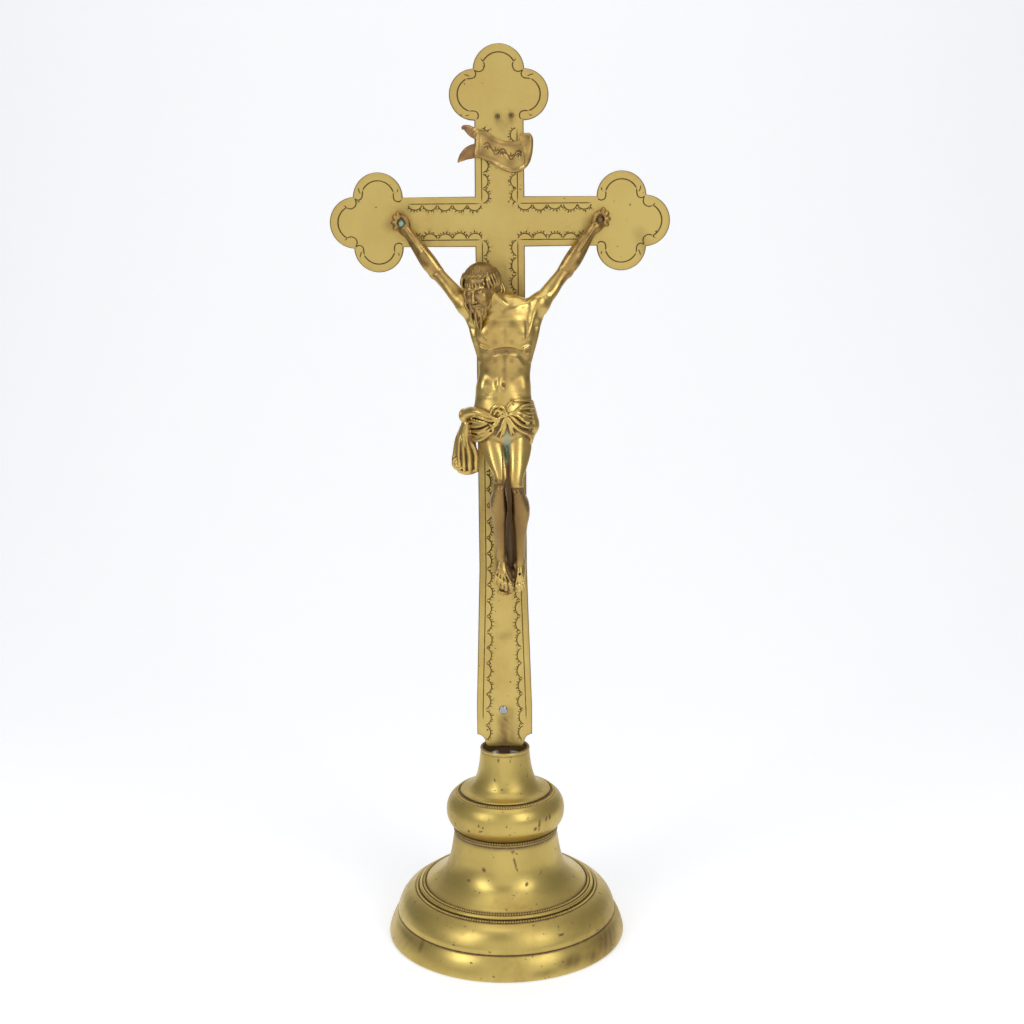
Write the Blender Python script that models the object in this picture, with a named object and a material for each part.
"""Brass altar crucifix on a turned foot, in metres, +Z up, origin at the middle of the foot's underside.

Four spun shells stand on each other and are drawn together by an iron tie rod. The rod's flat top is
riveted behind a cross cut from sheet brass, which carries a cast figure and a cast title scroll.
The front of the cross looks along -Y.
"""

import math

import bmesh
import bpy
from mathutils import Matrix, Vector

MM = 0.001
GAP = 0.3 * MM

# Foot, waist, knop and neck: outside radii and heights
TURNS = 36
FOOT_R = 60.0 * MM
SKIRT_TOP_R = 56.0 * MM
SKIRT_TOP_Z = 11.0 * MM
DOME_TOP_R = 46.4 * MM
FOOT_TOP_Z = 24.4 * MM
RIM_LIP_R = 57.0 * MM
FOOT_BORE_R = 31.0 * MM
WAIST_R = 44.4 * MM
WAIST_TOP_Z = 56.2 * MM
KNOP_R = 29.9 * MM
KNOP_TOP_Z = 74.6 * MM
NECK_FOOT_R = 22.6 * MM
NECK_TOP_Z = 98.0 * MM
MOUTH_R = 11.0 * MM
WALL = 1.1 * MM

# Tie rod and what it clamps
ROD_R = 3.0 * MM
ROD_BOTTOM_Z = 6.0 * MM
TANG_WIDTH = 6.4 * MM
TANG_THICK = 2.4 * MM
TANG_TOP_Z = 127.0 * MM
RIVET_Z = 117.5 * MM
RIVET_X = -0.7 * MM
DISC_Z = 86.4 * MM
DISC_R = 11.9 * MM
DISC_THICK = 1.6 * MM
BAR_LENGTH = 84.0 * MM
BAR_WIDTH = 14.0 * MM
BAR_THICK = 2.5 * MM
WASHER_R = 8.0 * MM
WASHER_THICK = 1.2 * MM
NUT_FLATS = 10.0 * MM
NUT_HEIGHT = 5.0 * MM

# Cross plate
PLATE_THICK = 2.2 * MM
BAR_HALF = 11.7 * MM
AXIS_Z = 358.0 * MM
ARM_REACH = 80.3 * MM
TOP_REACH = 81.0 * MM
TIP_LOBE_R = 12.0 * MM
SIDE_LOBE_R = 11.7 * MM
SIDE_LOBE_BACK = 22.9 * MM
SIDE_LOBE_OUT = 11.5 * MM
FLARE_START_Z = 190.0 * MM
FLARE_END_Z = 120.0 * MM
FLARE_HALF = 13.8 * MM
NOTCH_TOP_Z = 104.8 * MM
NOTCH_R = 4.4 * MM
PLATE_BOTTOM_Z = 98.3 * MM
END_HALF = 8.9 * MM

# Fasteners through the plate
NAIL_R = 0.75 * MM
PLUG_R = 1.1 * MM
LUG_R = 1.3 * MM
RIVET_R = 1.3 * MM
SCREW_R = 1.0 * MM
HANDS = {"left": (-46.4 * MM, 357.6 * MM), "right": (47.3 * MM, 358.6 * MM)}
HAND_FRONT_Y = -6.4 * MM
FEET_SCREW = (3.4 * MM, 189.0 * MM)
PLUGS = {"left": (-0.6 * MM, 406.2 * MM), "right": (5.7 * MM, 406.6 * MM)}
TITLE_LUG = (-1.5 * MM, 391.0 * MM)

# The figure, in millimetres: (x, y, z, half width, half depth) along each limb
FIGURE_VOXEL = 0.85 * MM
FIGURE_KEEP = 0.062
TORSO = (
    (1.4, -12.8, 319.5, 12.5, 5.5),
    (1.5, -13.0, 316.0, 16.0, 8.0),
    (1.7, -13.2, 309.0, 15.6, 9.3),
    (1.9, -12.8, 301.0, 13.9, 8.9),
    (1.9, -12.4, 293.0, 12.6, 7.7),
    (1.5, -12.4, 285.0, 12.2, 7.5),
    (0.9, -12.8, 277.0, 13.0, 8.3),
    (1.0, -12.6, 268.0, 13.6, 8.8),
    (1.2, -12.4, 260.5, 11.5, 7.5),
)
NECK = (
    (2.0, -11.5, 316.0, 5.2, 5.2),
    (-3.5, -15.5, 322.5, 4.8, 4.8),
    (-7.5, -18.0, 327.0, 4.8, 5.0),
)
HEAD_CENTRE = (-8.9, -18.6, 329.0)
HEAD_RADII = (8.0, 9.0, 10.4)
BEARD = (
    (-8.5, -24.0, 320.5, 4.4, 3.4),
    (-9.6, -23.0, 316.5, 3.2, 2.6),
    (-10.4, -21.5, 313.8, 1.6, 1.5),
)
RIGHT_ARM = (
    (-11.5, -12.5, 314.5, 5.4, 5.4),
    (-16.5, -11.5, 320.0, 4.0, 4.6),
    (-23.0, -9.5, 326.8, 3.2, 3.6),
    (-30.4, -8.0, 335.4, 3.5, 3.4),
    (-36.0, -7.4, 342.9, 3.6, 3.3),
    (-42.0, -6.2, 351.5, 2.7, 2.4),
    (-44.6, -5.8, 355.5, 2.3, 2.2),
)
LEFT_ARM = (
    (14.0, -12.5, 315.0, 5.8, 5.6),
    (19.2, -11.5, 321.2, 4.2, 4.8),
    (24.0, -9.5, 326.6, 3.4, 3.7),
    (30.4, -8.0, 334.6, 3.6, 3.5),
    (35.6, -7.4, 341.6, 3.9, 3.4),
    (41.3, -6.2, 351.0, 2.6, 2.4),
    (45.0, -5.8, 355.5, 2.4, 2.2),
)
RIGHT_LEG = (
    (-5.6, -13.6, 264.0, 7.0, 7.2),
    (-4.6, -18.0, 254.0, 6.0, 6.4),
    (-1.6, -25.2, 239.5, 3.9, 4.2),
    (-1.0, -21.5, 228.0, 4.2, 4.3),
    (-0.7, -15.5, 212.0, 3.1, 3.3),
    (-0.6, -10.0, 197.0, 2.5, 2.8),
)
LEFT_LEG = (
    (7.2, -13.6, 264.0, 6.9, 7.0),
    (8.6, -18.0, 253.0, 6.1, 6.3),
    (7.6, -25.0, 237.5, 4.0, 4.2),
    (8.2, -20.5, 226.0, 4.2, 4.3),
    (8.0, -14.5, 210.0, 3.1, 3.3),
    (7.4, -9.2, 195.0, 2.6, 2.8),
)
RIGHT_FOOT = (
    (-0.8, -6.5, 194.5, 2.8, 3.0),
    (0.6, -9.6, 188.5, 3.6, 3.0),
    (1.9, -10.6, 182.0, 4.1, 1.9),
)
LEFT_FOOT = (
    (7.4, -6.0, 193.5, 2.8, 2.8),
    (7.3, -8.2, 188.0, 3.2, 2.6),
    (7.6, -9.0, 182.6, 3.1, 1.7),
)
FOOT_BOSS = ((3.4, -2.9, 189.0, 2.9, 2.9), (3.4, -8.5, 189.0, 2.9, 2.9))
CLOTH_BAND = (
    (0.6, -12.6, 274.0, 14.0, 9.2),
    (0.6, -12.8, 267.0, 15.4, 10.4),
    (0.9, -13.2, 258.0, 15.2, 10.2),
    (1.2, -13.6, 254.5, 13.4, 9.0),
)
CLOTH_ROLL = (
    (-18.6, -12.0, 268.4, 3.2, 3.6),
    (-12.0, -19.0, 269.2, 4.0, 4.2),
    (-1.5, -23.8, 266.8, 2.4, 3.0),
)
CLOTH_FALL = (
    (-16.8, -11.5, 262.0, 4.2, 4.2),
    (-18.2, -11.0, 252.0, 5.4, 4.2),
    (-18.6, -10.5, 243.8, 5.9, 3.9),
)
CLOTH_CORNER = (
    (12.8, -12.0, 270.0, 4.0, 5.5),
    (15.4, -11.0, 260.5, 2.9, 3.4),
)


def clear_scene():
    for obj in list(bpy.data.objects):
        bpy.data.objects.remove(obj, do_unlink=True)


def material(name, colour, roughness, metallic=1.0):
    made = bpy.data.materials.new(name)
    made.use_nodes = True
    shader = made.node_tree.nodes["Principled BSDF"]
    shader.inputs["Base Color"].default_value = (*colour, 1.0)
    shader.inputs["Roughness"].default_value = roughness
    shader.inputs["Metallic"].default_value = metallic
    return made


def add_object(name, mesh, finish=None):
    obj = bpy.data.objects.new(name, mesh)
    bpy.context.scene.collection.objects.link(obj)
    if finish:
        mesh.materials.append(finish)
    return obj


def as_cutter(obj):
    obj.hide_render = True
    obj.display_type = "WIRE"


def boolean(target, other, operation):
    cut = target.modifiers.new(other.name, "BOOLEAN")
    cut.operation = operation
    cut.object = other
    as_cutter(other)


def smooth(obj, angle=35):
    obj.data.shade_smooth()
    obj.data.set_sharp_from_angle(angle=math.radians(angle))
    return obj


# Turned and drilled shapes


def arc_through(start, middle, end, steps):
    """Points on the circle through three (r, z) points, from start to end, without start itself."""
    (ax, ay), (bx, by), (cx, cy) = start, middle, end
    d = 2 * (ax * (by - cy) + bx * (cy - ay) + cx * (ay - by))
    a2, b2, c2 = ax * ax + ay * ay, bx * bx + by * by, cx * cx + cy * cy
    ux = (a2 * (by - cy) + b2 * (cy - ay) + c2 * (ay - by)) / d
    uy = (a2 * (cx - bx) + b2 * (ax - cx) + c2 * (bx - ax)) / d
    radius = math.hypot(ax - ux, ay - uy)
    first = math.atan2(ay - uy, ax - ux)
    last = math.atan2(cy - uy, cx - ux)
    mid = math.atan2(by - uy, bx - ux)
    turn = (last - first) % (2 * math.pi)
    if (mid - first) % (2 * math.pi) > turn:
        turn -= 2 * math.pi
    angles = (first + turn * i / steps for i in range(1, steps + 1))
    return [(ux + radius * math.cos(a), uy + radius * math.sin(a)) for a in angles]


def inner_offset(outer, wall):
    """The same profile moved inwards by the wall's thickness, listed from its end back to its start."""
    points = []
    for i, (r, z) in enumerate(outer):
        r0, z0 = outer[max(i - 1, 0)]
        r1, z1 = outer[min(i + 1, len(outer) - 1)]
        length = math.hypot(r1 - r0, z1 - z0)
        points.append((r - wall * (z1 - z0) / length, z + wall * (r1 - r0) / length))
    return points[::-1]


def turned(name, profile, finish, turns=TURNS):
    """A closed ring or a solid from a closed (r, z) profile; points with r = 0 lie on the axis."""
    mesh = bpy.data.meshes.new(name)
    form = bmesh.new()
    rings = []
    for r, z in profile:
        if r < 1e-7:
            rings.append([form.verts.new((0, 0, z))] * turns)
            continue
        angles = (2 * math.pi * i / turns for i in range(turns))
        rings.append([form.verts.new((r * math.cos(a), r * math.sin(a), z)) for a in angles])
    for k, ring in enumerate(rings):
        other = rings[(k + 1) % len(rings)]
        if ring[0] is ring[1] and other[0] is other[1]:
            continue
        for i in range(turns):
            j = (i + 1) % turns
            corners = []
            for vert in (ring[i], ring[j], other[j], other[i]):
                if vert not in corners:
                    corners.append(vert)
            form.faces.new(corners)
    bmesh.ops.recalc_face_normals(form, faces=form.faces)
    form.to_mesh(mesh)
    form.free()
    return smooth(add_object(name, mesh, finish))


def cylinder(name, radius, start, end, finish=None, turns=20):
    """A round bar between two points."""
    start, end = Vector(start), Vector(end)
    mesh = bpy.data.meshes.new(name)
    form = bmesh.new()
    length = (end - start).length
    bmesh.ops.create_cone(
        form, cap_ends=True, segments=turns, radius1=radius, radius2=radius, depth=length
    )
    turn = (end - start).to_track_quat("Z", "Y").to_matrix().to_4x4()
    bmesh.ops.transform(form, matrix=Matrix.Translation((start + end) / 2) @ turn, verts=form.verts)
    form.to_mesh(mesh)
    form.free()
    return smooth(add_object(name, mesh, finish))


def box(name, low, high, finish=None):
    mesh = bpy.data.meshes.new(name)
    form = bmesh.new()
    bmesh.ops.create_cube(form, size=1.0)
    size = [b - a for a, b in zip(low, high)]
    middle = [(a + b) / 2 for a, b in zip(low, high)]
    bmesh.ops.scale(form, vec=size, verts=form.verts)
    bmesh.ops.translate(form, vec=middle, verts=form.verts)
    form.to_mesh(mesh)
    form.free()
    return add_object(name, mesh, finish)


def extruded(name, outline, front, back, finish=None):
    """A flat sheet from an (x, z) outline, between two depths along Y."""
    mesh = bpy.data.meshes.new(name)
    form = bmesh.new()
    face = form.faces.new([form.verts.new((x, front, z)) for x, z in outline])
    grown = bmesh.ops.extrude_face_region(form, geom=[face])
    moved = [v for v in grown["geom"] if isinstance(v, bmesh.types.BMVert)]
    bmesh.ops.translate(form, vec=(0, back - front, 0), verts=moved)
    bmesh.ops.recalc_face_normals(form, faces=form.faces)
    form.to_mesh(mesh)
    form.free()
    return add_object(name, mesh, finish)


def turned_along_y(name, x, z, profile, finish, turns=20):
    """A turned pin whose axis runs along Y through (x, z); the profile is (r, y)."""
    pin = turned(name, profile, finish, turns)
    pin.data.transform(Matrix.Rotation(math.radians(-90), 4, "X"))
    pin.location = (x, 0, z)
    return pin


def drill(target, label, x, z, radius, front, back, turns=20):
    hole = cylinder(f"{target.name}_{label}", radius, (x, front, z), (x, back, z), turns=turns)
    boolean(target, hole, "DIFFERENCE")


# Spun shells of the base


def build_foot_shell(brass):
    skirt = [(FOOT_R, 0), (FOOT_R, 1.2 * MM)]
    skirt += arc_through(skirt[-1], (58.4 * MM, 6.6 * MM), (SKIRT_TOP_R, SKIRT_TOP_Z), 3)
    groove = [(55.1 * MM, 11.5 * MM)]
    dome = arc_through((55.5 * MM, 12.1 * MM), (53.2 * MM, 18.8 * MM), (DOME_TOP_R, 24.0 * MM), 5)
    outer = skirt + groove + [(55.5 * MM, 12.1 * MM)] + dome
    outer += [(45.6 * MM, FOOT_TOP_Z), (FOOT_BORE_R, FOOT_TOP_Z)]
    under = inner_offset(outer[1:-1], WALL)
    inner = [(FOOT_BORE_R, FOOT_TOP_Z - WALL)] + under[:-1]
    lip = [(58.2 * MM, 1.2 * MM), (RIM_LIP_R, 1.2 * MM), (RIM_LIP_R, 0)]
    return turned("foot_shell", outer + inner + lip, brass)


def build_waist_shell(brass):
    base = FOOT_TOP_Z + GAP
    edge = [(WAIST_R, base), (WAIST_R, base + 1.0 * MM), (43.0 * MM, base + 1.8 * MM)]
    bell = arc_through((40.6 * MM, base + 1.9 * MM), (31.2 * MM, 33.5 * MM), (27.4 * MM, 45.0 * MM), 6)
    top = [(26.2 * MM, 53.0 * MM), (26.4 * MM, 55.4 * MM), (25.6 * MM, WAIST_TOP_Z)]
    outer = edge + [(40.6 * MM, base + 1.9 * MM)] + bell + top + [(20.0 * MM, WAIST_TOP_Z)]
    inner = [(20.0 * MM, WAIST_TOP_Z - WALL)] + inner_offset(outer[3:-1], WALL)
    return turned("waist_shell", outer + inner[:-1] + [(39.6 * MM, base)], brass)


def build_knop_shell(brass):
    base = WAIST_TOP_Z + GAP
    low = (25.4 * MM, base)
    bulge = arc_through(low, (KNOP_R, 65.4 * MM), (24.6 * MM, KNOP_TOP_Z - 0.4 * MM), 9)
    outer = [low] + bulge + [(23.6 * MM, KNOP_TOP_Z), (18.6 * MM, KNOP_TOP_Z)]
    inner = [(18.6 * MM, KNOP_TOP_Z - WALL)] + inner_offset(outer[1:-2], WALL)
    flange = [(24.6 * MM, base + WALL), (20.0 * MM, base + WALL), (20.0 * MM, base)]
    return turned("knop_shell", outer + inner + flange, brass)


def build_neck_socket(brass):
    base = KNOP_TOP_Z + GAP
    low = [(NECK_FOOT_R, base), (NECK_FOOT_R, base + 0.5 * MM)]
    flare = arc_through(low[-1], (16.2 * MM, 79.2 * MM), (13.8 * MM, 85.6 * MM), 5)
    stem = [(13.0 * MM, 90.0 * MM), (12.3 * MM, 96.4 * MM)]
    lip = [(12.6 * MM, 97.2 * MM), (12.2 * MM, NECK_TOP_Z), (11.4 * MM, NECK_TOP_Z), (MOUTH_R, 97.2 * MM)]
    inner = inner_offset(low[1:] + flare + stem, WALL)
    inner[-1] = (21.0 * MM, base)
    return turned("neck_socket", low + flare + stem + lip + inner, brass)


def build_neck_disc(brass):
    """The disc soldered across the neck, which the rod's collar bears on."""
    low, high = DISC_Z, DISC_Z + DISC_THICK
    bore = ROD_R + GAP
    return turned("neck_disc", [(DISC_R, low), (DISC_R, high), (bore, high), (bore, low)], brass)


def build_solder_fillet(solder):
    low = DISC_Z + DISC_THICK + GAP
    profile = [(11.6 * MM, low), (11.5 * MM, low + 1.8 * MM), (11.1 * MM, low + 1.6 * MM), (9.6 * MM, low)]
    return turned("solder_fillet", profile, solder)


# Rod and clamp


def build_tie_rod(iron):
    """Round rod with a collar, drawn out above it into a flat tang behind the cross plate."""
    collar_z = DISC_Z + DISC_THICK + GAP
    collar_top = collar_z + 2.4 * MM
    profile = [
        (0, ROD_BOTTOM_Z),
        (ROD_R - 0.5 * MM, ROD_BOTTOM_Z),
        (ROD_R, ROD_BOTTOM_Z + 0.5 * MM),
        (ROD_R, collar_z),
        (5.2 * MM, collar_z),
        (5.2 * MM, collar_top),
        (0, collar_top),
    ]
    rod = turned("tie_rod", profile, iron, turns=24)
    half = TANG_WIDTH / 2
    low = (RIVET_X - half, GAP, collar_top - 1.2 * MM)
    tang = box("tang", low, (RIVET_X + half, GAP + TANG_THICK, TANG_TOP_Z))
    boolean(rod, tang, "UNION")
    drill(rod, "rivet_hole", RIVET_X, RIVET_Z, RIVET_R + GAP, -1 * MM, 5 * MM)
    return rod


def clamp_levels():
    """Undersides of the bar, the washer and the nut, which hang below the foot's top in that order."""
    bar = FOOT_TOP_Z - WALL - GAP - BAR_THICK
    washer = bar - GAP - WASHER_THICK
    return bar, washer, washer - GAP - NUT_HEIGHT


def build_clamp_bar(iron):
    low = clamp_levels()[0]
    half, wide = BAR_LENGTH / 2, BAR_WIDTH / 2
    bar = box("clamp_bar", (-half, -wide, low), (half, wide, low + BAR_THICK), iron)
    hole = cylinder("clamp_bar_hole", ROD_R + GAP, (0, 0, low - MM), (0, 0, low + 4 * MM))
    boolean(bar, hole, "DIFFERENCE")
    return bar


def build_nut_washer(iron):
    low = clamp_levels()[1]
    bore = ROD_R + GAP
    profile = [(WASHER_R, low), (WASHER_R, low + WASHER_THICK), (bore, low + WASHER_THICK), (bore, low)]
    return turned("nut_washer", profile, iron, turns=24)


def build_clamp_nut(iron):
    low = clamp_levels()[2]
    half = NUT_FLATS / 2
    nut = box("clamp_nut", (-half, -half, low), (half, half, low + NUT_HEIGHT), iron)
    hole = cylinder("clamp_nut_hole", ROD_R + GAP, (0, 0, low - MM), (0, 0, low + NUT_HEIGHT + MM))
    boolean(nut, hole, "DIFFERENCE")
    return nut


# Cross plate


def arc(centre, radius, start, end, steps):
    """Points on a circle from one angle to another, in degrees, both ends included."""
    turns = (math.radians(start + (end - start) * i / steps) for i in range(steps + 1))
    return [(centre[0] + radius * math.cos(a), centre[1] + radius * math.sin(a)) for a in turns]


def trefoil(reach):
    """The outline of an arm end with three lobes, pointing along +u, from its +v edge round to its -v edge."""
    tip = (reach - TIP_LOBE_R, 0.0)
    side = (reach - SIDE_LOBE_BACK, SIDE_LOBE_OUT)
    # The lobes' outer crossing, seen from each lobe's centre
    apart = math.hypot(tip[0] - side[0], tip[1] - side[1])
    along = (SIDE_LOBE_R**2 - TIP_LOBE_R**2 + apart**2) / (2 * apart)
    towards = math.degrees(math.atan2(tip[1] - side[1], tip[0] - side[0]))
    side_end = towards + math.degrees(math.acos(along / SIDE_LOBE_R))
    tip_start = towards + 180 - math.degrees(math.acos((apart - along) / TIP_LOBE_R))
    upper = arc(side, SIDE_LOBE_R, 180, side_end, 12)[:-1]
    crown = arc(tip, TIP_LOBE_R, tip_start, -tip_start, 12)
    lower = [(u, -v) for u, v in upper[::-1]]
    return upper + crown + lower


def lower_end():
    """The foot of the upright, from its right edge to its left: flare, quarter-round notch, plain end."""
    flare = [(BAR_HALF, FLARE_START_Z), (FLARE_HALF, FLARE_END_Z), (FLARE_HALF, NOTCH_TOP_Z)]
    notch = arc((FLARE_HALF + 0.4 * MM, NOTCH_TOP_Z - NOTCH_R), NOTCH_R, 100, 180, 4)[1:]
    right = flare + notch + [(END_HALF, PLATE_BOTTOM_Z)]
    return right + [(-x, z) for x, z in right[::-1]]


def cross_outline():
    """The whole outline in (x, z), clockwise from the top arm's left edge."""
    top = [(-v, AXIS_Z + u) for u, v in trefoil(TOP_REACH)]
    right = [(u, AXIS_Z + v) for u, v in trefoil(ARM_REACH)]
    left = [(-u, AXIS_Z - v) for u, v in trefoil(ARM_REACH)]
    corner = BAR_HALF
    return (
        [(-corner, AXIS_Z + corner)]
        + top
        + [(corner, AXIS_Z + corner)]
        + right
        + [(corner, AXIS_Z - corner)]
        + lower_end()
        + [(-corner, AXIS_Z - corner)]
        + left
    )


def build_cross_plate(brass):
    plate = extruded("cross_plate", cross_outline(), -PLATE_THICK, 0.0, brass)
    front, back = -PLATE_THICK - MM, MM
    for side, (x, z) in HANDS.items():
        drill(plate, f"hand_{side}", x, z, NAIL_R + GAP, front, back, 12)
    for side, (x, z) in PLUGS.items():
        drill(plate, f"plug_{side}", x, z, PLUG_R + GAP, front, back, 12)
    drill(plate, "rivet", RIVET_X, RIVET_Z, RIVET_R + GAP, front, back, 16)
    drill(plate, "title", *TITLE_LUG, LUG_R + GAP, front, back, 16)
    drill(plate, "feet", *FEET_SCREW, SCREW_R + GAP, front, back, 12)
    return plate


# Fasteners along Y


def headed_pin(name, x, z, head, front, shank, back, tail, finish):
    """A pin with a domed head ending at depth front, and a formed tail at depth back."""
    (head_r, head_t), (tail_r, tail_t) = head, tail
    profile = [
        (0, front),
        (head_r * 0.7, front + head_t * 0.2),
        (head_r, front + head_t),
        (shank, front + head_t),
        (shank, back - tail_t),
        (tail_r, back - tail_t),
        (tail_r * 0.7, back - tail_t * 0.2),
        (0, back),
    ]
    return turned_along_y(name, x, z, profile, finish, turns=12)


def build_tang_rivet(steel):
    front = -PLATE_THICK - GAP - 0.7 * MM
    back = GAP + TANG_THICK + GAP + 0.9 * MM
    head, tail = (2.1 * MM, 0.7 * MM), (2.3 * MM, 0.9 * MM)
    return headed_pin("tang_rivet", RIVET_X, RIVET_Z, head, front, RIVET_R, back, tail, steel)


def build_hand_nail(side, brass):
    """A nail through the palm and the plate, its plain end standing out behind for the nut."""
    x, z = HANDS[side]
    front = HAND_FRONT_Y - GAP - 0.9 * MM
    tail = (NAIL_R, 0.4 * MM)
    head = (1.6 * MM, 0.9 * MM)
    return headed_pin(f"hand_nail_{side}", x, z, head, front, NAIL_R, 3.2 * MM, tail, brass)


def build_nail_nut(side, brass):
    x, z = HANDS[side]
    low, high = GAP, GAP + 1.8 * MM
    bore = NAIL_R + GAP
    profile = [(2.4 * MM, low), (2.4 * MM, high - 0.4 * MM), (2.0 * MM, high), (bore, high), (bore, low)]
    return turned_along_y(f"nail_nut_{side}", x, z, profile, brass, turns=16)


def build_feet_screw(brass):
    """A screw from behind the plate into the boss between the figure's feet."""
    x, z = FEET_SCREW
    front, back = -7.2 * MM, GAP + 1.6 * MM
    profile = [
        (0, front),
        (SCREW_R * 0.6, front),
        (SCREW_R, front + 0.6 * MM),
        (SCREW_R, GAP),
        (2.3 * MM, GAP),
        (2.3 * MM, back - 0.7 * MM),
        (1.4 * MM, back),
        (0, back),
    ]
    screw = turned_along_y("feet_screw", x, z, profile, brass, turns=16)
    slot_low = (x - 3 * MM, back - 0.7 * MM, z - 0.3 * MM)
    slot_high = (x + 3 * MM, back + MM, z + 0.3 * MM)
    slot = box("feet_screw_slot", slot_low, slot_high)
    boolean(screw, slot, "DIFFERENCE")
    return screw


def build_pin_plug(side, brass):
    x, z = PLUGS[side]
    profile = [(0, -PLATE_THICK - 0.1 * MM), (PLUG_R, -PLATE_THICK), (PLUG_R, 0), (0, 0.1 * MM)]
    return turned_along_y(f"pin_plug_{side}", x, z, profile, brass, turns=12)


# Title scroll


def build_titulus(brass):
    """A cast ribbon with a swallow tail, a rolled end and a lug peened over behind the plate."""
    top = [(-12.4, 400.3), (-6.5, 399.6), (-2.0, 396.8), (3.0, 394.9), (8.6, 394.4)]
    end = [(8.8, 396.6), (10.4, 397.6), (14.0, 396.6), (15.2, 392.6), (14.2, 385.0), (12.4, 382.6)]
    bottom = [(8.4, 380.9), (4.2, 380.9), (-1.0, 383.2), (-6.4, 386.4), (-13.5, 388.2)]
    tail = [(-19.3, 385.6), (-15.6, 391.0), (-11.6, 392.6), (-12.6, 396.4), (-16.8, 399.6), (-15.6, 401.0)]
    outline = [(x * MM, z * MM) for x, z in top + end + bottom + tail]
    back = -PLATE_THICK - GAP
    ribbon = extruded("titulus", outline, back - 1.6 * MM, back, brass)
    x, z = TITLE_LUG
    tail_y = GAP + 0.9 * MM
    profile = [
        (0, back - 0.8 * MM),
        (LUG_R, back - 0.8 * MM),
        (LUG_R, GAP),
        (2.2 * MM, GAP),
        (1.6 * MM, tail_y),
        (0, tail_y),
    ]
    lug = turned_along_y("titulus_lug", x, z, profile, None, turns=16)
    boolean(ribbon, lug, "UNION")
    return ribbon


# Figure


def limb_into(form, stations, sides=14):
    """Adds a tapered round limb through (x, y, z, half width, half depth) stations, with round ends."""
    points = [Vector(s[:3]) * MM for s in stations]
    for i, (_, _, _, wide, deep) in enumerate(stations):
        before, after = points[max(i - 1, 0)], points[min(i + 1, len(points) - 1)]
        along = (after - before).normalized()
        front = Vector((0, -1, 0))
        if abs(along.dot(front)) > 0.95:
            front = Vector((0, 0, 1))
        across = along.cross(front).normalized()
        front = across.cross(along).normalized()
        ring = []
        for k in range(sides):
            a = 2 * math.pi * k / sides
            offset = across * (wide * math.cos(a)) + front * (deep * math.sin(a))
            ring.append(form.verts.new(points[i] + offset * MM))
        if i == 0:
            first_cap = form.verts.new(points[0] - along * min(wide, deep) * 0.6 * MM)
            cap_fan(form, first_cap, ring[::-1])
        else:
            for k in range(sides):
                j = (k + 1) % sides
                form.faces.new((last[k], last[j], ring[j], ring[k]))
        last = ring
    end_cap = form.verts.new(points[-1] + along * min(wide, deep) * 0.6 * MM)
    cap_fan(form, end_cap, last)


def cap_fan(form, centre, ring):
    for k, vert in enumerate(ring):
        form.faces.new((vert, ring[(k + 1) % len(ring)], centre))


def ball_into(form, centre, radii, tilt=0.0):
    made = bmesh.ops.create_icosphere(form, subdivisions=3, radius=1.0)
    size = Matrix.Diagonal((*[r * MM for r in radii], 1.0))
    place = Matrix.Translation(Vector(centre) * MM) @ Matrix.Rotation(math.radians(tilt), 4, "X")
    bmesh.ops.transform(form, matrix=place @ size, verts=made["verts"])


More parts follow.
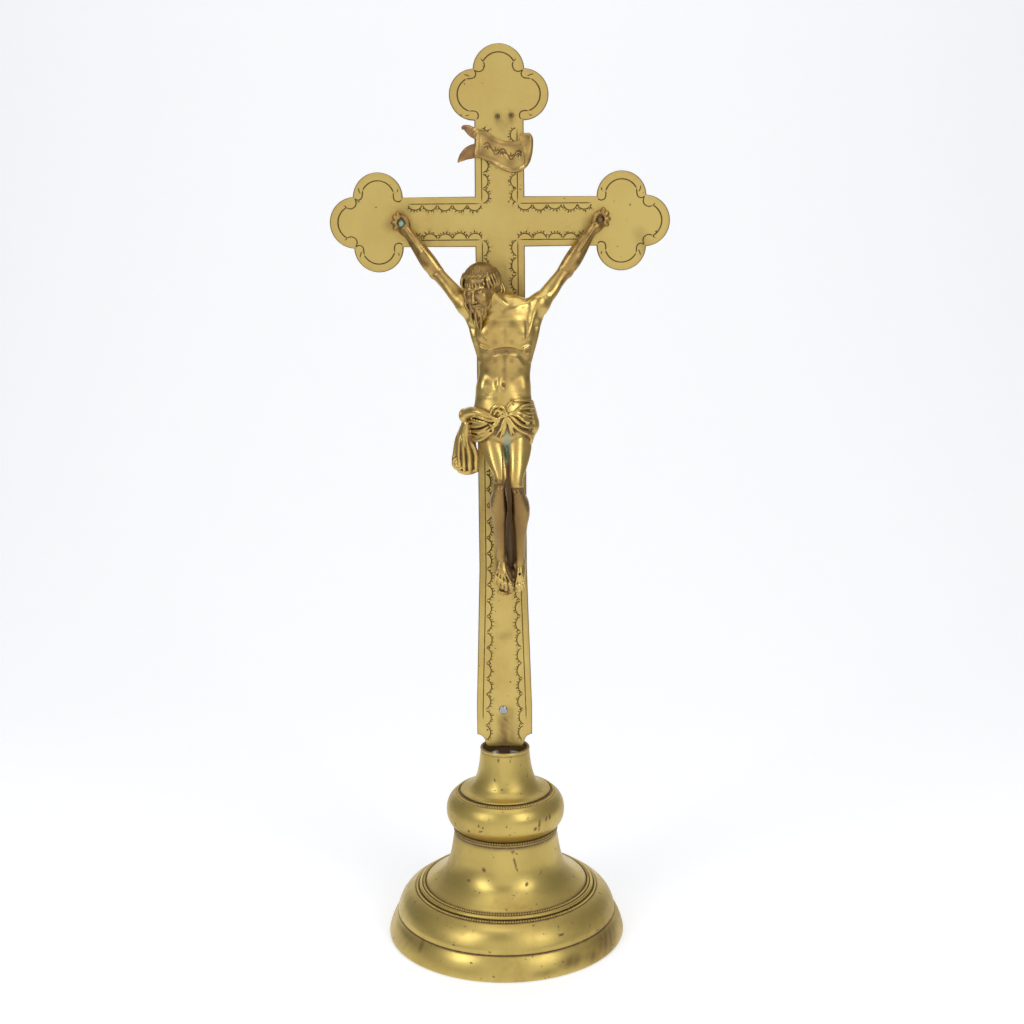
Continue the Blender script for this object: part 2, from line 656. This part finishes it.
def build_corpus(brass):
    """The cast figure: limbs, head, beard, cloth and a boss between the feet, run into one skin."""
    form = bmesh.new()
    limbs = (TORSO, NECK, BEARD, RIGHT_ARM, LEFT_ARM, RIGHT_LEG, LEFT_LEG, RIGHT_FOOT, LEFT_FOOT)
    for stations in limbs + (FOOT_BOSS, CLOTH_BAND, CLOTH_ROLL, CLOTH_FALL, CLOTH_CORNER):
        limb_into(form, stations)
    ball_into(form, HEAD_CENTRE, HEAD_RADII, 12)
    for x, z in HANDS.values():
        ball_into(form, (x / MM, HAND_FRONT_Y / MM + 1.9, z / MM + 0.4), (4.2, 2.1, 5.2))
    ball_into(form, (-19.6, -10.4, 241.8), (5.0, 3.6, 4.2))
    mesh = bpy.data.meshes.new("corpus")
    form.to_mesh(mesh)
    form.free()
    figure = add_object("corpus", mesh, brass)
    skin = figure.modifiers.new("skin", "REMESH")
    skin.mode = "VOXEL"
    skin.voxel_size = FIGURE_VOXEL
    fewer = figure.modifiers.new("fewer", "DECIMATE")
    fewer.ratio = FIGURE_KEEP
    behind = box("corpus_back", (-0.1, -PLATE_THICK - GAP, 0.1), (0.1, 0.05, 0.5))
    boolean(figure, behind, "DIFFERENCE")
    for side, (x, z) in HANDS.items():
        drill(figure, f"nail_{side}", x, z, NAIL_R + GAP, -12 * MM, MM, 12)
    drill(figure, "screw", *FEET_SCREW, SCREW_R + GAP, -7.8 * MM, MM, 12)
    return figure


def main():
    clear_scene()
    satin_brass = material("satin_brass", (0.52, 0.38, 0.12), 0.34)
    sheet_brass = material("sheet_brass", (0.50, 0.38, 0.13), 0.42)
    cast_brass = material("cast_brass", (0.55, 0.38, 0.10), 0.30)
    iron = material("iron", (0.16, 0.13, 0.11), 0.62)
    white_metal = material("white_metal", (0.62, 0.63, 0.64), 0.35)
    solder = material("solder", (0.48, 0.50, 0.53), 0.45)

    build_foot_shell(satin_brass)
    build_waist_shell(satin_brass)
    build_knop_shell(satin_brass)
    build_neck_socket(satin_brass)
    build_neck_disc(satin_brass)
    build_solder_fillet(solder)
    build_tie_rod(iron)
    build_clamp_bar(iron)
    build_nut_washer(iron)
    build_clamp_nut(iron)
    build_cross_plate(sheet_brass)
    build_tang_rivet(white_metal)
    build_titulus(cast_brass)
    build_corpus(cast_brass)
    build_feet_screw(cast_brass)
    for side in ("left", "right"):
        build_hand_nail(side, cast_brass)
        build_nail_nut(side, cast_brass)
        build_pin_plug(side, sheet_brass)


main()
